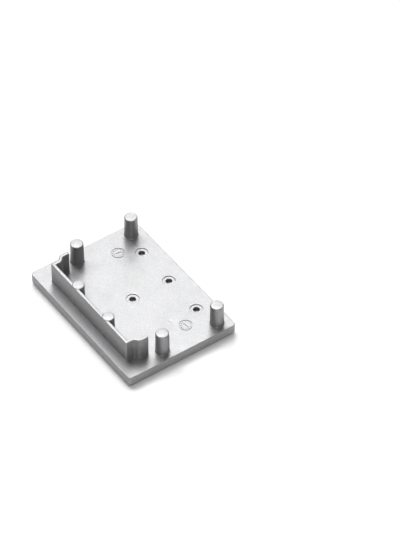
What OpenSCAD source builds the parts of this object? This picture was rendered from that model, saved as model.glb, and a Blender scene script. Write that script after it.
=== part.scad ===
// Profile end cap: a moulded plate that closes the cut end of a hollow profile.
// Six pegs press into the profile's screw channels, and a thin locating wall follows the
// inside of its chamber. The cap lies on its outer face with the pegs pointing up.
// The origin is the centre of the outer face, X runs along the plate and Y across it.

/* [Plate] */
// Length of the plate, along X
plate_l = 55; // [48:1:90]
// Width of the plate, along Y
plate_w = 40; // [36:1:70]
// Thickness of the plate
plate_t = 4; // [3:0.1:6]
// Radius of the plate's four corners
plate_corner_r = 1.2; // [1:0.1:3]
// Rounding of the edge around the outer face
face_edge_r = 1.1; // [0.3:0.1:1.5]
// Rounding of the edge around the inner face
seat_edge_r = 0.2; // [0.05:0.05:0.3]

/* [Pegs] */
// Diameter of a free peg
peg_d = 4.3; // [3.4:0.1:5]
// Diameter of a peg that stands in the wall
wall_peg_d = 4; // [3.4:0.1:5]
// Height of a peg above the inner face
peg_h = 8; // [6:0.5:14]
// Rounding of a peg's tip
peg_tip_r = 0.3; // [0.1:0.05:0.5]
// Fillet at a peg's root
peg_root_r = 0.25; // [0.2:0.05:0.7]
// Distance from a side edge of the plate to the axis of a free peg
peg_side_inset = 4; // [3:0.1:4.5]
// Distance from the back edge to the axis of the back pegs
peg_back_inset = 4.5; // [3.4:0.1:7]
// Distance from the front edge to the axis of the middle pegs
peg_front_inset = 15; // [14:0.5:18]
// Distance between the two pegs that stand in the wall
wall_peg_pitch = 16.5; // [10:0.5:24]
// How far those two pegs stand proud of the wall's outer side
wall_peg_proud = 0.1; // [0.05:0.05:0.4]

/* [Locating wall] */
// Thickness of the wall
wall_t = 1.2; // [0.8:0.1:1.6]
// Height of the wall above the inner face
wall_h = 7.8; // [5:0.1:12]
// Distance from the front edge of the plate to the wall's outer side
wall_front_inset = 3.5; // [2:0.1:5]
// Distance from a side edge of the plate to the outer side of the wall's corner
wall_side_inset = 6.7; // [6.5:0.1:9]
// Radius on the outside of the wall's corner
wall_corner_r = 0.4; // [0.2:0.05:1]
// Length of a leg, from the wall's outer side to the leg's end
leg_l = 7.2; // [6.6:0.1:8]
// How far a leg's end stands outside its foot
leg_jog = 1.6; // [0.6:0.1:2]
// Distance from the wall's outer side to the middle of the jog
leg_jog_at = 3.8; // [3.4:0.1:4.4]
// Bend radius of the jog, to the middle of the wall
leg_jog_r = 1.7; // [1.2:0.1:2.2]

/* [Pits] */
// Diameter of a blind pit
pit_d = 1.9; // [1:0.1:2.4]
// Depth of a pit below its recess
pit_depth = 1.2; // [0.5:0.1:1.6]
// Diameter of the shallow recess around a pit
recess_d = 4; // [3:0.1:5]
// Depth of that recess
recess_depth = 0.2; // [0.1:0.05:0.4]
// Distance between the pits of the back row
pit_pitch = 15; // [10:0.5:17]
// Distance from the back edge to the axes of the back row
pit_back_inset = 6.3; // [4.5:0.1:9]

/* [Hidden] */
$fn = 64;
bend_steps = 12;

// A corner is never tighter than the edge that is rounded round it
corner_r = max(plate_corner_r, face_edge_r + 0.1);

// Pegs and wall reach this far into the plate
sink = plate_t/2;
peg_x = plate_l/2 - peg_side_inset;
peg_rows = [plate_w/2 - peg_back_inset, peg_front_inset - plate_w/2];
pit_r = pit_d/2;
pit_row_y = plate_w/2 - pit_back_inset;

// The wall's middle line
wall_y = wall_front_inset + wall_t/2 - plate_w/2;
foot_x = plate_l/2 - wall_side_inset - wall_t/2;
leg_x = foot_x + leg_jog;
leg_end_y = wall_front_inset + leg_l - plate_w/2;
wall_peg_y = wall_front_inset - wall_peg_proud + wall_peg_d/2 - plate_w/2;

// The jog is two equal bends that meet halfway
jog_angle = acos(1 - leg_jog/(2*leg_jog_r));
jog_half = leg_jog_r*sin(jog_angle);
jog_y = wall_front_inset + leg_jog_at - plate_w/2;

// Half of the plate's section, from its middle out to `half`, with both edges rounded
module half_slab_section(half) {
    square([half - face_edge_r, plate_t - seat_edge_r]);
    translate([0, face_edge_r]) square([half, plate_t - face_edge_r - seat_edge_r]);
    translate([0, face_edge_r]) square([half - seat_edge_r, plate_t - face_edge_r]);
    translate([half - face_edge_r, face_edge_r]) circle(face_edge_r);
    translate([half - seat_edge_r, plate_t - seat_edge_r]) circle(seat_edge_r);
}

module slab_section(half) {
    half_slab_section(half);
    mirror([1, 0]) half_slab_section(half);
}

// The same edges about a corner's own axis, cut off at the axis
module corner_section() {
    intersection() {
        half_slab_section(corner_r);
        translate([0, -1]) square([corner_r + 1, plate_t + 2]);
    }
}

// Two crossing bars give the straight edges, and a puck in each corner the round ones
module plate() {
    rotate([90, 0, 90]) linear_extrude(plate_l - 2*corner_r, center = true) slab_section(plate_w/2);
    rotate([90, 0, 0]) linear_extrude(plate_w - 2*corner_r, center = true) slab_section(plate_l/2);
    for (sx = [-1, 1], sy = [-1, 1])
        translate([sx*(plate_l/2 - corner_r), sy*(plate_w/2 - corner_r), 0])
            rotate_extrude() corner_section();
}

module peg_section(r) {
    translate([0, -sink]) square([r - peg_tip_r, sink + peg_h]);
    translate([0, -sink]) square([r, sink + peg_h - peg_tip_r]);
    translate([r - peg_tip_r, peg_h - peg_tip_r]) circle(peg_tip_r);
    difference() {
        translate([0, -sink]) square([r + peg_root_r, sink + peg_root_r]);
        translate([r + peg_root_r, peg_root_r]) circle(peg_root_r);
    }
}

module peg(x, y, d) {
    translate([x, y, plate_t]) rotate_extrude() peg_section(d/2);
}

// Points along a round bend about (x, y), from one angle to another
function bend(x, y, r, from, to) =
    [for (i = [0:bend_steps]) let (a = from + (to - from)*i/bend_steps) [x + r*cos(a), y + r*sin(a)]];

// The right leg from its foot to its end, `out` outside the wall's middle line
function leg(out) = concat(
    bend(foot_x + leg_jog_r, jog_y - jog_half, leg_jog_r - out, 180, 180 - jog_angle),
    bend(leg_x - leg_jog_r, jog_y + jog_half, leg_jog_r + out, -jog_angle, 0),
    [[leg_x + out, leg_end_y]]
);

// Where the wall turns into its right leg: round on the outside, sharp on the inside
outer_corner = bend(foot_x + wall_t/2 - wall_corner_r, wall_y - wall_t/2 + wall_corner_r, wall_corner_r, -90, 0);
inner_corner = [[foot_x - wall_t/2, wall_y + wall_t/2]];

function reversed(points) = [for (i = [len(points) - 1:-1:0]) points[i]];

function mirrored(points) = [for (p = reversed(points)) [-p[0], p[1]]];

module locating_wall() {
    half_outline = concat(outer_corner, leg(wall_t/2), reversed(leg(-wall_t/2)), inner_corner);
    translate([0, 0, plate_t - sink]) linear_extrude(sink + wall_h)
        polygon(concat(half_outline, mirrored(half_outline)));
}

// A round recess with a smaller pit in its floor, which ends in a cone
module pit(x, y) {
    floor_z = plate_t - recess_depth;
    translate([x, y, floor_z]) cylinder(d = recess_d, h = 2*recess_depth);
    translate([x, y, floor_z - pit_depth]) cylinder(r = pit_r, h = pit_depth + recess_depth);
    translate([x, y, floor_z - pit_depth - pit_r/2]) cylinder(r1 = 0, r2 = pit_r, h = pit_r/2);
}

module end_cap() {
    color("silver")
    difference() {
        union() {
            plate();
            locating_wall();
            for (sx = [-1, 1]) {
                for (y = peg_rows) peg(sx*peg_x, y, peg_d);
                peg(sx*wall_peg_pitch/2, wall_peg_y, wall_peg_d);
            }
        }
        for (i = [-1:1]) pit(i*pit_pitch, pit_row_y);
        pit(0, 0);
    }
}

end_cap();
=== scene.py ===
"""A moulded profile end cap on a white studio floor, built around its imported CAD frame."""
import math

import bmesh
import bpy
from mathutils import Matrix, Vector


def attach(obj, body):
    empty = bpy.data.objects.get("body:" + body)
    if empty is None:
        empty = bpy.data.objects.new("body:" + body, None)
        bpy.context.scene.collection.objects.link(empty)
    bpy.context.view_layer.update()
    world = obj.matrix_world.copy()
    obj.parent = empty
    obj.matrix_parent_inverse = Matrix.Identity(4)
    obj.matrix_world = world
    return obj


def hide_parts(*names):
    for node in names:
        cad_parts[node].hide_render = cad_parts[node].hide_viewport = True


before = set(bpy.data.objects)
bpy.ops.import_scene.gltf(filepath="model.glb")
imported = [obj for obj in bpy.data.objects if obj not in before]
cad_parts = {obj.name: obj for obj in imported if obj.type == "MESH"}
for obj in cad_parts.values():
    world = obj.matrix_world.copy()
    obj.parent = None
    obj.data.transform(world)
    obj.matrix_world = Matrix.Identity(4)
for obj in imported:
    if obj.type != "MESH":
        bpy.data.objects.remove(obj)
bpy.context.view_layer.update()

# Sizes are in millimetres, as in the CAD source, unless a name ends in _M; MM turns them into metres
MM = 0.001

# The plate
PLATE_L, PLATE_W, PLATE_T = 55.0, 40.0, 4.0
PLATE_CORNER_R, FACE_EDGE_R, SEAT_EDGE_R = 1.2, 1.1, 0.2

# The four free pegs and the two in the wall; the draft widens a peg's root and narrows its tip by this much
PEG_H, PEG_D, WALL_PEG_D = 8.0, 4.3, 4.0
PEG_DRAFT = 0.06
PEG_TIP_R, PEG_ROOT_R = 0.3, 0.15
PEG_X, PEG_ROWS = 23.5, (15.5, -5.0)
WALL_PEG_X, WALL_PEG_Y = 8.25, -14.6

# The locating wall: WALL_Y and FOOT_X are its middle line, and each leg jogs outward at JOG_Y
WALL_T, WALL_H = 1.2, 7.8
WALL_Y, FOOT_X = -15.9, 20.2
LEG_JOG, LEG_JOG_R, JOG_Y, LEG_END_Y = 1.6, 1.7, -12.7, -9.3
WALL_CORNER_R, LEG_END_R = 0.4, 0.32
WALL_TOP_R, WALL_ROOT_R = 0.3, 0.12

# The pits and the shallow recesses round them
PIT_D, PIT_DEPTH, PIT_EDGE = 1.9, 1.2, 0.14
RECESS_D, RECESS_DEPTH, RECESS_EDGE_R = 4.0, 0.2, 0.14
PITS = ((-15.0, 13.7), (0.0, 13.7), (15.0, 13.7), (0.0, 0.0))

# The two engraved date dials: place and the pointer's angle in degrees, then the form of both
DIALS = ((-19.1, 7.5, 75), (18.8, 7.0, 195))
DIAL_R, DIAL_LINE, DIAL_DEPTH = 2.2, 0.2, 0.12
TICKS, TICK_FROM, TICK_TO = 12, 1.35, 1.75
POINTER_TAIL, POINTER_TIP, POINTER_BARB = -0.95, 1.0, (0.2, 0.42)

# The faint mark of an ejector pin
EJECTOR_AT, EJECTOR_R, EJECTOR_DEPTH, EJECTOR_SLOPE = (14.6, 4.2), 0.85, 0.03, 0.15

# How far the pegs and the wall reach into the plate, and the cutters out of it
SUNK, CUT_ABOVE = 2.0, 0.5

# Steps in each rounding and bend, and in the round pieces
PLATE_CORNER_STEPS, FACE_EDGE_STEPS, SEAT_EDGE_STEPS = 16, 10, 5
PEG_ROOT_STEPS, PEG_TIP_STEPS = 8, 6
WALL_CORNER_STEPS, JOG_STEPS, LEG_END_STEPS = 10, 14, 6
WALL_ROOT_STEPS, WALL_TOP_STEPS = 6, 5
RECESS_EDGE_STEPS = 4
ROUND_STEPS, DIAL_STEPS, EJECTOR_STEPS = 128, 96, 48
SHARP_ANGLE = 40

# The photograph's camera, solved from the plate's corners: pinhole, no shift, looking down at 45.7 degrees
CAMERA_AT_M = Vector((0.62889, -0.41657, 0.78993))
CAMERA_TOWARD = Vector((-0.571738, 0.401997, -0.715183))
CAMERA_LENS, CAMERA_FILM_H = 236.44, 36.0
CAMERA_CLIP_M = 10.0

# The soft lamps: turn from straight behind the cap to its right and height, both in degrees, width in
# metres and power in watts
LAMP_DISTANCE_M = 1.2
LAMPS = {
    "high_back": (0, 75, 0.4, 2.2),
    "back": (0, 60, 0.5, 2.8),
    "low_back": (0, 28, 0.5, 2.4),
    "back_left": (-45, 60, 0.5, 4.6),
    "right": (72, 28, 0.5, 1.2),
    "front_fill": (180, 28, 0.5, 3.8),
}
SURROUND_STRENGTH = 0.5
DISPLAY_GAMMA = 0.667

# The floor lies a hair under the cap, so that the two faces don't share a plane
FLOOR_HALF_M, FLOOR_DROP_M, FLOOR_WHITE = 1.5, 0.00001, 0.9

# The silver plastic: how many grains, flakes and clouds a metre holds, and its two greys
GRAIN_PER_M, FLAKES_PER_M, CLOUDS_PER_M = 3200, 2800, 300
SILVER_DARK, SILVER_LIGHT = (0.372, 0.372, 0.375), (0.444, 0.444, 0.449)
METALLIC, ROUGHNESS = 0.7, (0.38, 0.46)
# Nearly all values of a noise lie in this range
NOISE_RANGE = (0.3, 0.7)
# The grain's depth, its scale up the sides, and its strength below and above the inner face's rounded edge
GRAIN_DEPTH_M, GRAIN_DRAWN = 0.00004, 0.12
GRAIN_STRENGTH, GRAIN_CHANGES_AT = (0.8, 0.35), (PLATE_T - 0.3, PLATE_T - 0.1)


def quarter(start, steps):
    """Angles of a quarter turn from `start`, both ends included."""
    return [start + math.pi / 2 * i / steps for i in range(steps + 1)]


def arc(x, y, r, start, end, steps):
    angles = [start + (end - start) * i / steps for i in range(steps + 1)]
    return [(x + r * math.cos(a), y + r * math.sin(a)) for a in angles]


def circle(x, y, r, steps):
    """Points once round a circle, the first not repeated."""
    return arc(x, y, r, 0, 2 * math.pi, steps)[:-1]


def root_fillet(r, steps):
    """How far a fillet stands out at each height above the face it grows from."""
    return [(r * (1 - math.sin(a)), r * (1 - math.cos(a))) for a in quarter(0, steps)]


def rounded_edge(r, steps):
    """How far a rounded edge draws back at each depth below the top, from the side to the top."""
    return [(r * (1 - math.cos(a)), r * (1 - math.sin(a))) for a in quarter(0, steps)]


def turned(points, degrees):
    c, s = math.cos(math.radians(degrees)), math.sin(math.radians(degrees))
    return [(x * c - y * s, x * s + y * c) for x, y in points]


def add_object(name, bm):
    bmesh.ops.recalc_face_normals(bm, faces=bm.faces)
    mesh = bpy.data.meshes.new(name)
    bm.to_mesh(mesh)
    bm.free()
    obj = bpy.data.objects.new(name, mesh)
    bpy.context.scene.collection.objects.link(obj)
    return obj


def loft(name, rings, cap):
    """A closed solid through rings of (x, y, z) points, closed at both ends by the faces in `cap`."""
    bm = bmesh.new()
    rows = [[bm.verts.new(p) for p in ring] for ring in rings]
    count = len(rows[0])
    for low, high in zip(rows, rows[1:]):
        for i in range(count):
            j = (i + 1) % count
            bm.faces.new((low[i], low[j], high[j], high[i]))
    for row in (rows[0], rows[-1]):
        for face in cap:
            bm.faces.new([row[i] for i in face])
    return add_object(name, bm)


def revolve(name, profile, x, y, steps=ROUND_STEPS):
    """A solid of revolution standing on the inner face; the profile runs (r, height) from axis to axis."""
    bm = bmesh.new()
    rows = []
    for r, height in profile:
        z = PLATE_T + height
        if r == 0:
            rows.append([bm.verts.new((x, y, z))])
        else:
            rows.append([bm.verts.new((px, py, z)) for px, py in circle(x, y, r, steps)])
    for low, high in zip(rows, rows[1:]):
        for i in range(steps):
            j = (i + 1) % steps
            if len(low) == 1:
                bm.faces.new((low[0], high[j], high[i]))
            elif len(high) == 1:
                bm.faces.new((low[i], low[j], high[0]))
            else:
                bm.faces.new((low[i], low[j], high[j], high[i]))
    return add_object(name, bm)


def plate_ring(inset, z):
    """The plate's outline at height z, drawn in by `inset`."""
    points = []
    for sx, sy, start in ((1, 1, 0), (-1, 1, 90), (-1, -1, 180), (1, -1, 270)):
        x = sx * (PLATE_L / 2 - PLATE_CORNER_R)
        y = sy * (PLATE_W / 2 - PLATE_CORNER_R)
        start, end = math.radians(start), math.radians(start + 90)
        points += arc(x, y, PLATE_CORNER_R - inset, start, end, PLATE_CORNER_STEPS)
    return [(px, py, z) for px, py in points]


def plate():
    rings = []
    for a in quarter(-math.pi / 2, FACE_EDGE_STEPS):
        rings.append(plate_ring(FACE_EDGE_R * (1 - math.cos(a)), FACE_EDGE_R * (1 + math.sin(a))))
    for back, down in rounded_edge(SEAT_EDGE_R, SEAT_EDGE_STEPS):
        rings.append(plate_ring(back, PLATE_T - down))
    return loft("end_cap_moulding", rings, [range(len(rings[0]))])


def wall_half(grow):
    """The right half of the wall's outline, moved out by `grow`, from its front round to its back."""
    out = WALL_T / 2 + grow
    turn = math.acos(1 - LEG_JOG / (2 * LEG_JOG_R))
    half = LEG_JOG_R * math.sin(turn)
    leg_x = FOOT_X + LEG_JOG
    corner = (FOOT_X + WALL_T / 2 - WALL_CORNER_R, WALL_Y - WALL_T / 2 + WALL_CORNER_R)
    foot_bend = (FOOT_X + LEG_JOG_R, JOG_Y - half)
    leg_bend = (leg_x - LEG_JOG_R, JOG_Y + half)
    end_r, end_y = LEG_END_R + grow, LEG_END_Y - LEG_END_R
    points = arc(*corner, WALL_CORNER_R + grow, -math.pi / 2, 0, WALL_CORNER_STEPS)
    points += arc(*foot_bend, LEG_JOG_R - out, math.pi, math.pi - turn, JOG_STEPS)
    points += arc(*leg_bend, LEG_JOG_R + out, -turn, 0, JOG_STEPS)[1:]
    points += arc(leg_x + WALL_T / 2 - LEG_END_R, end_y, end_r, 0, math.pi / 2, LEG_END_STEPS)
    points += arc(leg_x - WALL_T / 2 + LEG_END_R, end_y, end_r, math.pi / 2, math.pi, LEG_END_STEPS)
    points += arc(*leg_bend, LEG_JOG_R - out, 0, -turn, JOG_STEPS)
    points += arc(*foot_bend, LEG_JOG_R + out, math.pi - turn, math.pi, JOG_STEPS)[1:]
    return points + [(FOOT_X - out, WALL_Y + out)]


def wall_ring(grow, z):
    half = wall_half(grow)
    return [(x, y, z) for x, y in half + [(-x, y) for x, y in reversed(half)]]


def wall_cap():
    """The faces across a ring of the wall: a fan in each corner and a strip along the rest."""
    half = len(wall_half(0))
    faces = []
    for outer in (range(half), range(2 * half - 1, half - 1, -1)):
        inner = outer[::-1]
        for i in range(WALL_CORNER_STEPS):
            faces.append((outer[i], outer[i + 1], inner[0]))
        for j in range((half - WALL_CORNER_STEPS - 2) // 2):
            i = WALL_CORNER_STEPS + j
            faces.append((outer[i], outer[i + 1], inner[j + 1], inner[j]))
    faces.append((0, 2 * half - 1, half, half - 1))
    return faces


def locating_wall():
    """The wall with a fillet at its root and a rounded top."""
    profile = [(WALL_ROOT_R, -SUNK)] + root_fillet(WALL_ROOT_R, WALL_ROOT_STEPS)
    profile += [(-back, WALL_H - down) for back, down in rounded_edge(WALL_TOP_R, WALL_TOP_STEPS)]
    return loft("wall", [wall_ring(grow, PLATE_T + height) for grow, height in profile], wall_cap())


def peg(x, y, d):
    """A peg with a fillet at its root, a slightly drafted side and a rounded tip."""
    root_r, tip_r = d / 2 + PEG_DRAFT, d / 2 - PEG_DRAFT
    profile = [(0, -SUNK), (root_r + PEG_ROOT_R, -SUNK)]
    profile += [(root_r + out, up) for out, up in root_fillet(PEG_ROOT_R, PEG_ROOT_STEPS)]
    profile += [(tip_r - back, PEG_H - down) for back, down in rounded_edge(PEG_TIP_R, PEG_TIP_STEPS)]
    return revolve("peg", profile + [(0, PEG_H)], x, y)


def pit(x, y):
    """The cutter of a recess with its broken edge, the pit in its floor and the pit's cone."""
    pit_r, recess_r = PIT_D / 2, RECESS_D / 2
    profile = [(0, -RECESS_DEPTH - PIT_DEPTH - pit_r / 2), (pit_r, -RECESS_DEPTH - PIT_DEPTH)]
    profile += [(pit_r, -RECESS_DEPTH - PIT_EDGE), (pit_r + PIT_EDGE, -RECESS_DEPTH)]
    profile += [(recess_r, -RECESS_DEPTH)]
    profile += [(recess_r + back, -down) for back, down in rounded_edge(RECESS_EDGE_R, RECESS_EDGE_STEPS)]
    return revolve("pit", profile + [(recess_r + RECESS_EDGE_R, CUT_ABOVE), (0, CUT_ABOVE)], x, y)


def ejector_mark(x, y):
    floor = -EJECTOR_DEPTH
    profile = [(0, floor), (EJECTOR_R - EJECTOR_SLOPE, floor), (EJECTOR_R, 0)]
    return revolve("ejector", profile + [(EJECTOR_R, CUT_ABOVE), (0, CUT_ABOVE)], x, y, EJECTOR_STEPS)


def prism(bm, outline, low, high):
    """An upright solid over an outline of (x, y) points."""
    rows = [[bm.verts.new((x, y, z)) for x, y in outline] for z in (low, high)]
    for i in range(len(outline)):
        j = (i + 1) % len(outline)
        bm.faces.new((rows[0][i], rows[0][j], rows[1][j], rows[1][i]))
    for row in rows:
        bm.faces.new(row)


def washer(bm, inner, outer, low, high, steps):
    corners = ((inner, low), (outer, low), (outer, high), (inner, high))
    rows = [[bm.verts.new((x, y, z)) for x, y in circle(0, 0, r, steps)] for r, z in corners]
    for row, following in zip(rows, rows[1:] + rows[:1]):
        for i in range(steps):
            j = (i + 1) % steps
            bm.faces.new((row[i], row[j], following[j], following[i]))


def date_dial(x, y, angle):
    """The cutter of a moulder's date insert: its rim, twelve ticks and a pointer, with no figures."""
    bm = bmesh.new()
    side, low, high = DIAL_LINE / 2, -DIAL_DEPTH, CUT_ABOVE
    washer(bm, DIAL_R - DIAL_LINE, DIAL_R, low, high, DIAL_STEPS)
    tick = [(TICK_FROM, -side), (TICK_TO, -side), (TICK_TO, side), (TICK_FROM, side)]
    for i in range(TICKS):
        prism(bm, turned(tick, 360 / TICKS * i), low, high)
    barb_x, barb_y = POINTER_BARB
    pointer = [(POINTER_TAIL, -side), (barb_x, -side), (barb_x, -barb_y), (POINTER_TIP, 0)]
    pointer += [(barb_x, barb_y), (barb_x, side), (POINTER_TAIL, side)]
    prism(bm, turned(pointer, angle), low, high)
    bmesh.ops.translate(bm, vec=(x, y, PLATE_T), verts=bm.verts)
    return add_object("dial", bm)


def combine(target, tool, operation):
    """Joins `tool` to `target` or cuts it out, and throws the tool away."""
    modifier = target.modifiers.new("combine", "BOOLEAN")
    modifier.operation = operation
    modifier.solver = "EXACT"
    modifier.object = tool
    bpy.context.view_layer.objects.active = target
    with bpy.context.temp_override(object=target, active_object=target):
        bpy.ops.object.modifier_apply(modifier=modifier.name)
    bpy.data.objects.remove(tool)


def end_cap_moulding():
    cap = plate()
    combine(cap, locating_wall(), "UNION")
    for sx in (-1, 1):
        for y in PEG_ROWS:
            combine(cap, peg(sx * PEG_X, y, PEG_D), "UNION")
        combine(cap, peg(sx * WALL_PEG_X, WALL_PEG_Y, WALL_PEG_D), "UNION")
    for x, y in PITS:
        combine(cap, pit(x, y), "DIFFERENCE")
    for x, y, angle in DIALS:
        combine(cap, date_dial(x, y, angle), "DIFFERENCE")
    combine(cap, ejector_mark(*EJECTOR_AT), "DIFFERENCE")
    cap.data.transform(Matrix.Scale(MM, 4))
    return cap


def smooth(obj):
    for polygon in obj.data.polygons:
        polygon.use_smooth = True
    obj.data.set_sharp_from_angle(angle=math.radians(SHARP_ANGLE))
    modifier = obj.modifiers.new("flat_faces_stay_flat", "WEIGHTED_NORMAL")
    modifier.keep_sharp = True


def noise(tree, vector, scale, detail):
    node = tree.nodes.new("ShaderNodeTexNoise")
    node.inputs["Scale"].default_value = scale
    node.inputs["Detail"].default_value = detail
    tree.links.new(vector, node.inputs["Vector"])
    return node.outputs["Fac"]


def between(tree, value, source, target):
    """`value` carried from the range `source` to the range `target`, held at its ends."""
    node = tree.nodes.new("ShaderNodeMapRange")
    node.inputs["From Min"].default_value, node.inputs["From Max"].default_value = source
    node.inputs["To Min"].default_value, node.inputs["To Max"].default_value = target
    tree.links.new(value, node.inputs["Value"])
    return node.outputs["Result"]


def make_plastic():
    """Silver-filled plastic with a fine spark-eroded grain, stronger outside than from the inner face up."""
    material = bpy.data.materials.new("silver_plastic")
    material.use_nodes = True
    tree = material.node_tree
    shader = tree.nodes["Principled BSDF"]
    shader.inputs["Metallic"].default_value = METALLIC
    place = tree.nodes.new("ShaderNodeTexCoord").outputs["Object"]

    # The silver pigment: tiny flakes over slow clouds
    flakes = noise(tree, place, FLAKES_PER_M, detail=2)
    clouds = noise(tree, place, CLOUDS_PER_M, detail=3)
    silver = tree.nodes.new("ShaderNodeMix")
    silver.data_type = "RGBA"
    silver.inputs["A"].default_value = (*SILVER_DARK, 1)
    silver.inputs["B"].default_value = (*SILVER_LIGHT, 1)
    tree.links.new(between(tree, flakes, NOISE_RANGE, (0, 1)), silver.inputs["Factor"])
    tree.links.new(silver.outputs["Result"], shader.inputs["Base Color"])
    tree.links.new(between(tree, clouds, NOISE_RANGE, ROUGHNESS), shader.inputs["Roughness"])

    # The grain, drawn out along the walls and pegs as they leave the mould
    drawn = tree.nodes.new("ShaderNodeMapping")
    drawn.inputs["Scale"].default_value = (1, 1, GRAIN_DRAWN)
    tree.links.new(place, drawn.inputs["Vector"])
    grain = noise(tree, drawn.outputs["Vector"], GRAIN_PER_M, detail=3)
    height = tree.nodes.new("ShaderNodeSeparateXYZ")
    tree.links.new(place, height.inputs["Vector"])
    bump = tree.nodes.new("ShaderNodeBump")
    bump.inputs["Distance"].default_value = GRAIN_DEPTH_M
    changes_at = [z * MM for z in GRAIN_CHANGES_AT]
    tree.links.new(grain, bump.inputs["Height"])
    tree.links.new(between(tree, height.outputs["Z"], changes_at, GRAIN_STRENGTH), bump.inputs["Strength"])
    tree.links.new(bump.outputs["Normal"], shader.inputs["Normal"])
    return material


def make_camera():
    data = bpy.data.cameras.new("camera")
    data.sensor_fit = "VERTICAL"
    data.sensor_height = CAMERA_FILM_H
    data.lens = CAMERA_LENS
    data.clip_end = CAMERA_CLIP_M
    camera = bpy.data.objects.new("camera", data)
    bpy.context.scene.collection.objects.link(camera)
    camera.location = CAMERA_AT_M
    camera.rotation_euler = CAMERA_TOWARD.to_track_quat("-Z", "Y").to_euler()
    bpy.context.scene.camera = camera


def make_floor():
    mesh = bpy.data.meshes.new("floor")
    corners = [(sx * FLOOR_HALF_M, sy * FLOOR_HALF_M, 0) for sx, sy in ((-1, -1), (1, -1), (1, 1), (-1, 1))]
    mesh.from_pydata(corners, [], [(0, 1, 2, 3)])
    floor = bpy.data.objects.new("floor", mesh)
    bpy.context.scene.collection.objects.link(floor)
    floor.location.z = -FLOOR_DROP_M
    material = bpy.data.materials.new("floor_white")
    material.use_nodes = True
    shader = material.node_tree.nodes["Principled BSDF"]
    shader.inputs["Base Color"].default_value = (FLOOR_WHITE, FLOOR_WHITE, FLOOR_WHITE, 1)
    shader.inputs["Roughness"].default_value = 1.0
    shader.inputs["Specular IOR Level"].default_value = 0.0
    mesh.materials.append(material)


def soft_lamp(name, turn, height, width, power):
    """A round soft box around the cap, aimed at it."""
    data = bpy.data.lights.new(name, "AREA")
    data.shape = "DISK"
    data.size = width
    data.energy = power
    lamp = bpy.data.objects.new(name, data)
    bpy.context.scene.collection.objects.link(lamp)
    behind = math.atan2(CAMERA_TOWARD.y, CAMERA_TOWARD.x)
    turn, height = behind - math.radians(turn), math.radians(height)
    out = Vector((math.cos(turn) * math.cos(height), math.sin(turn) * math.cos(height), math.sin(height)))
    lamp.location = out * LAMP_DISTANCE_M
    lamp.rotation_euler = (-out).to_track_quat("-Z", "Y").to_euler()


def make_light():
    view = bpy.context.scene.view_settings
    view.view_transform = "Standard"
    view.gamma = DISPLAY_GAMMA
    world = bpy.data.worlds.new("world")
    bpy.context.scene.world = world
    world.use_nodes = True
    surround = world.node_tree.nodes["Background"]
    surround.inputs["Color"].default_value = (1, 1, 1, 1)
    surround.inputs["Strength"].default_value = SURROUND_STRENGTH
    for name, setting in LAMPS.items():
        soft_lamp(name, *setting)


make_camera()
make_floor()
make_light()
cap = end_cap_moulding()
smooth(cap)
cap.data.materials.append(make_plastic())
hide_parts("end_cap")
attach(cap, "root")
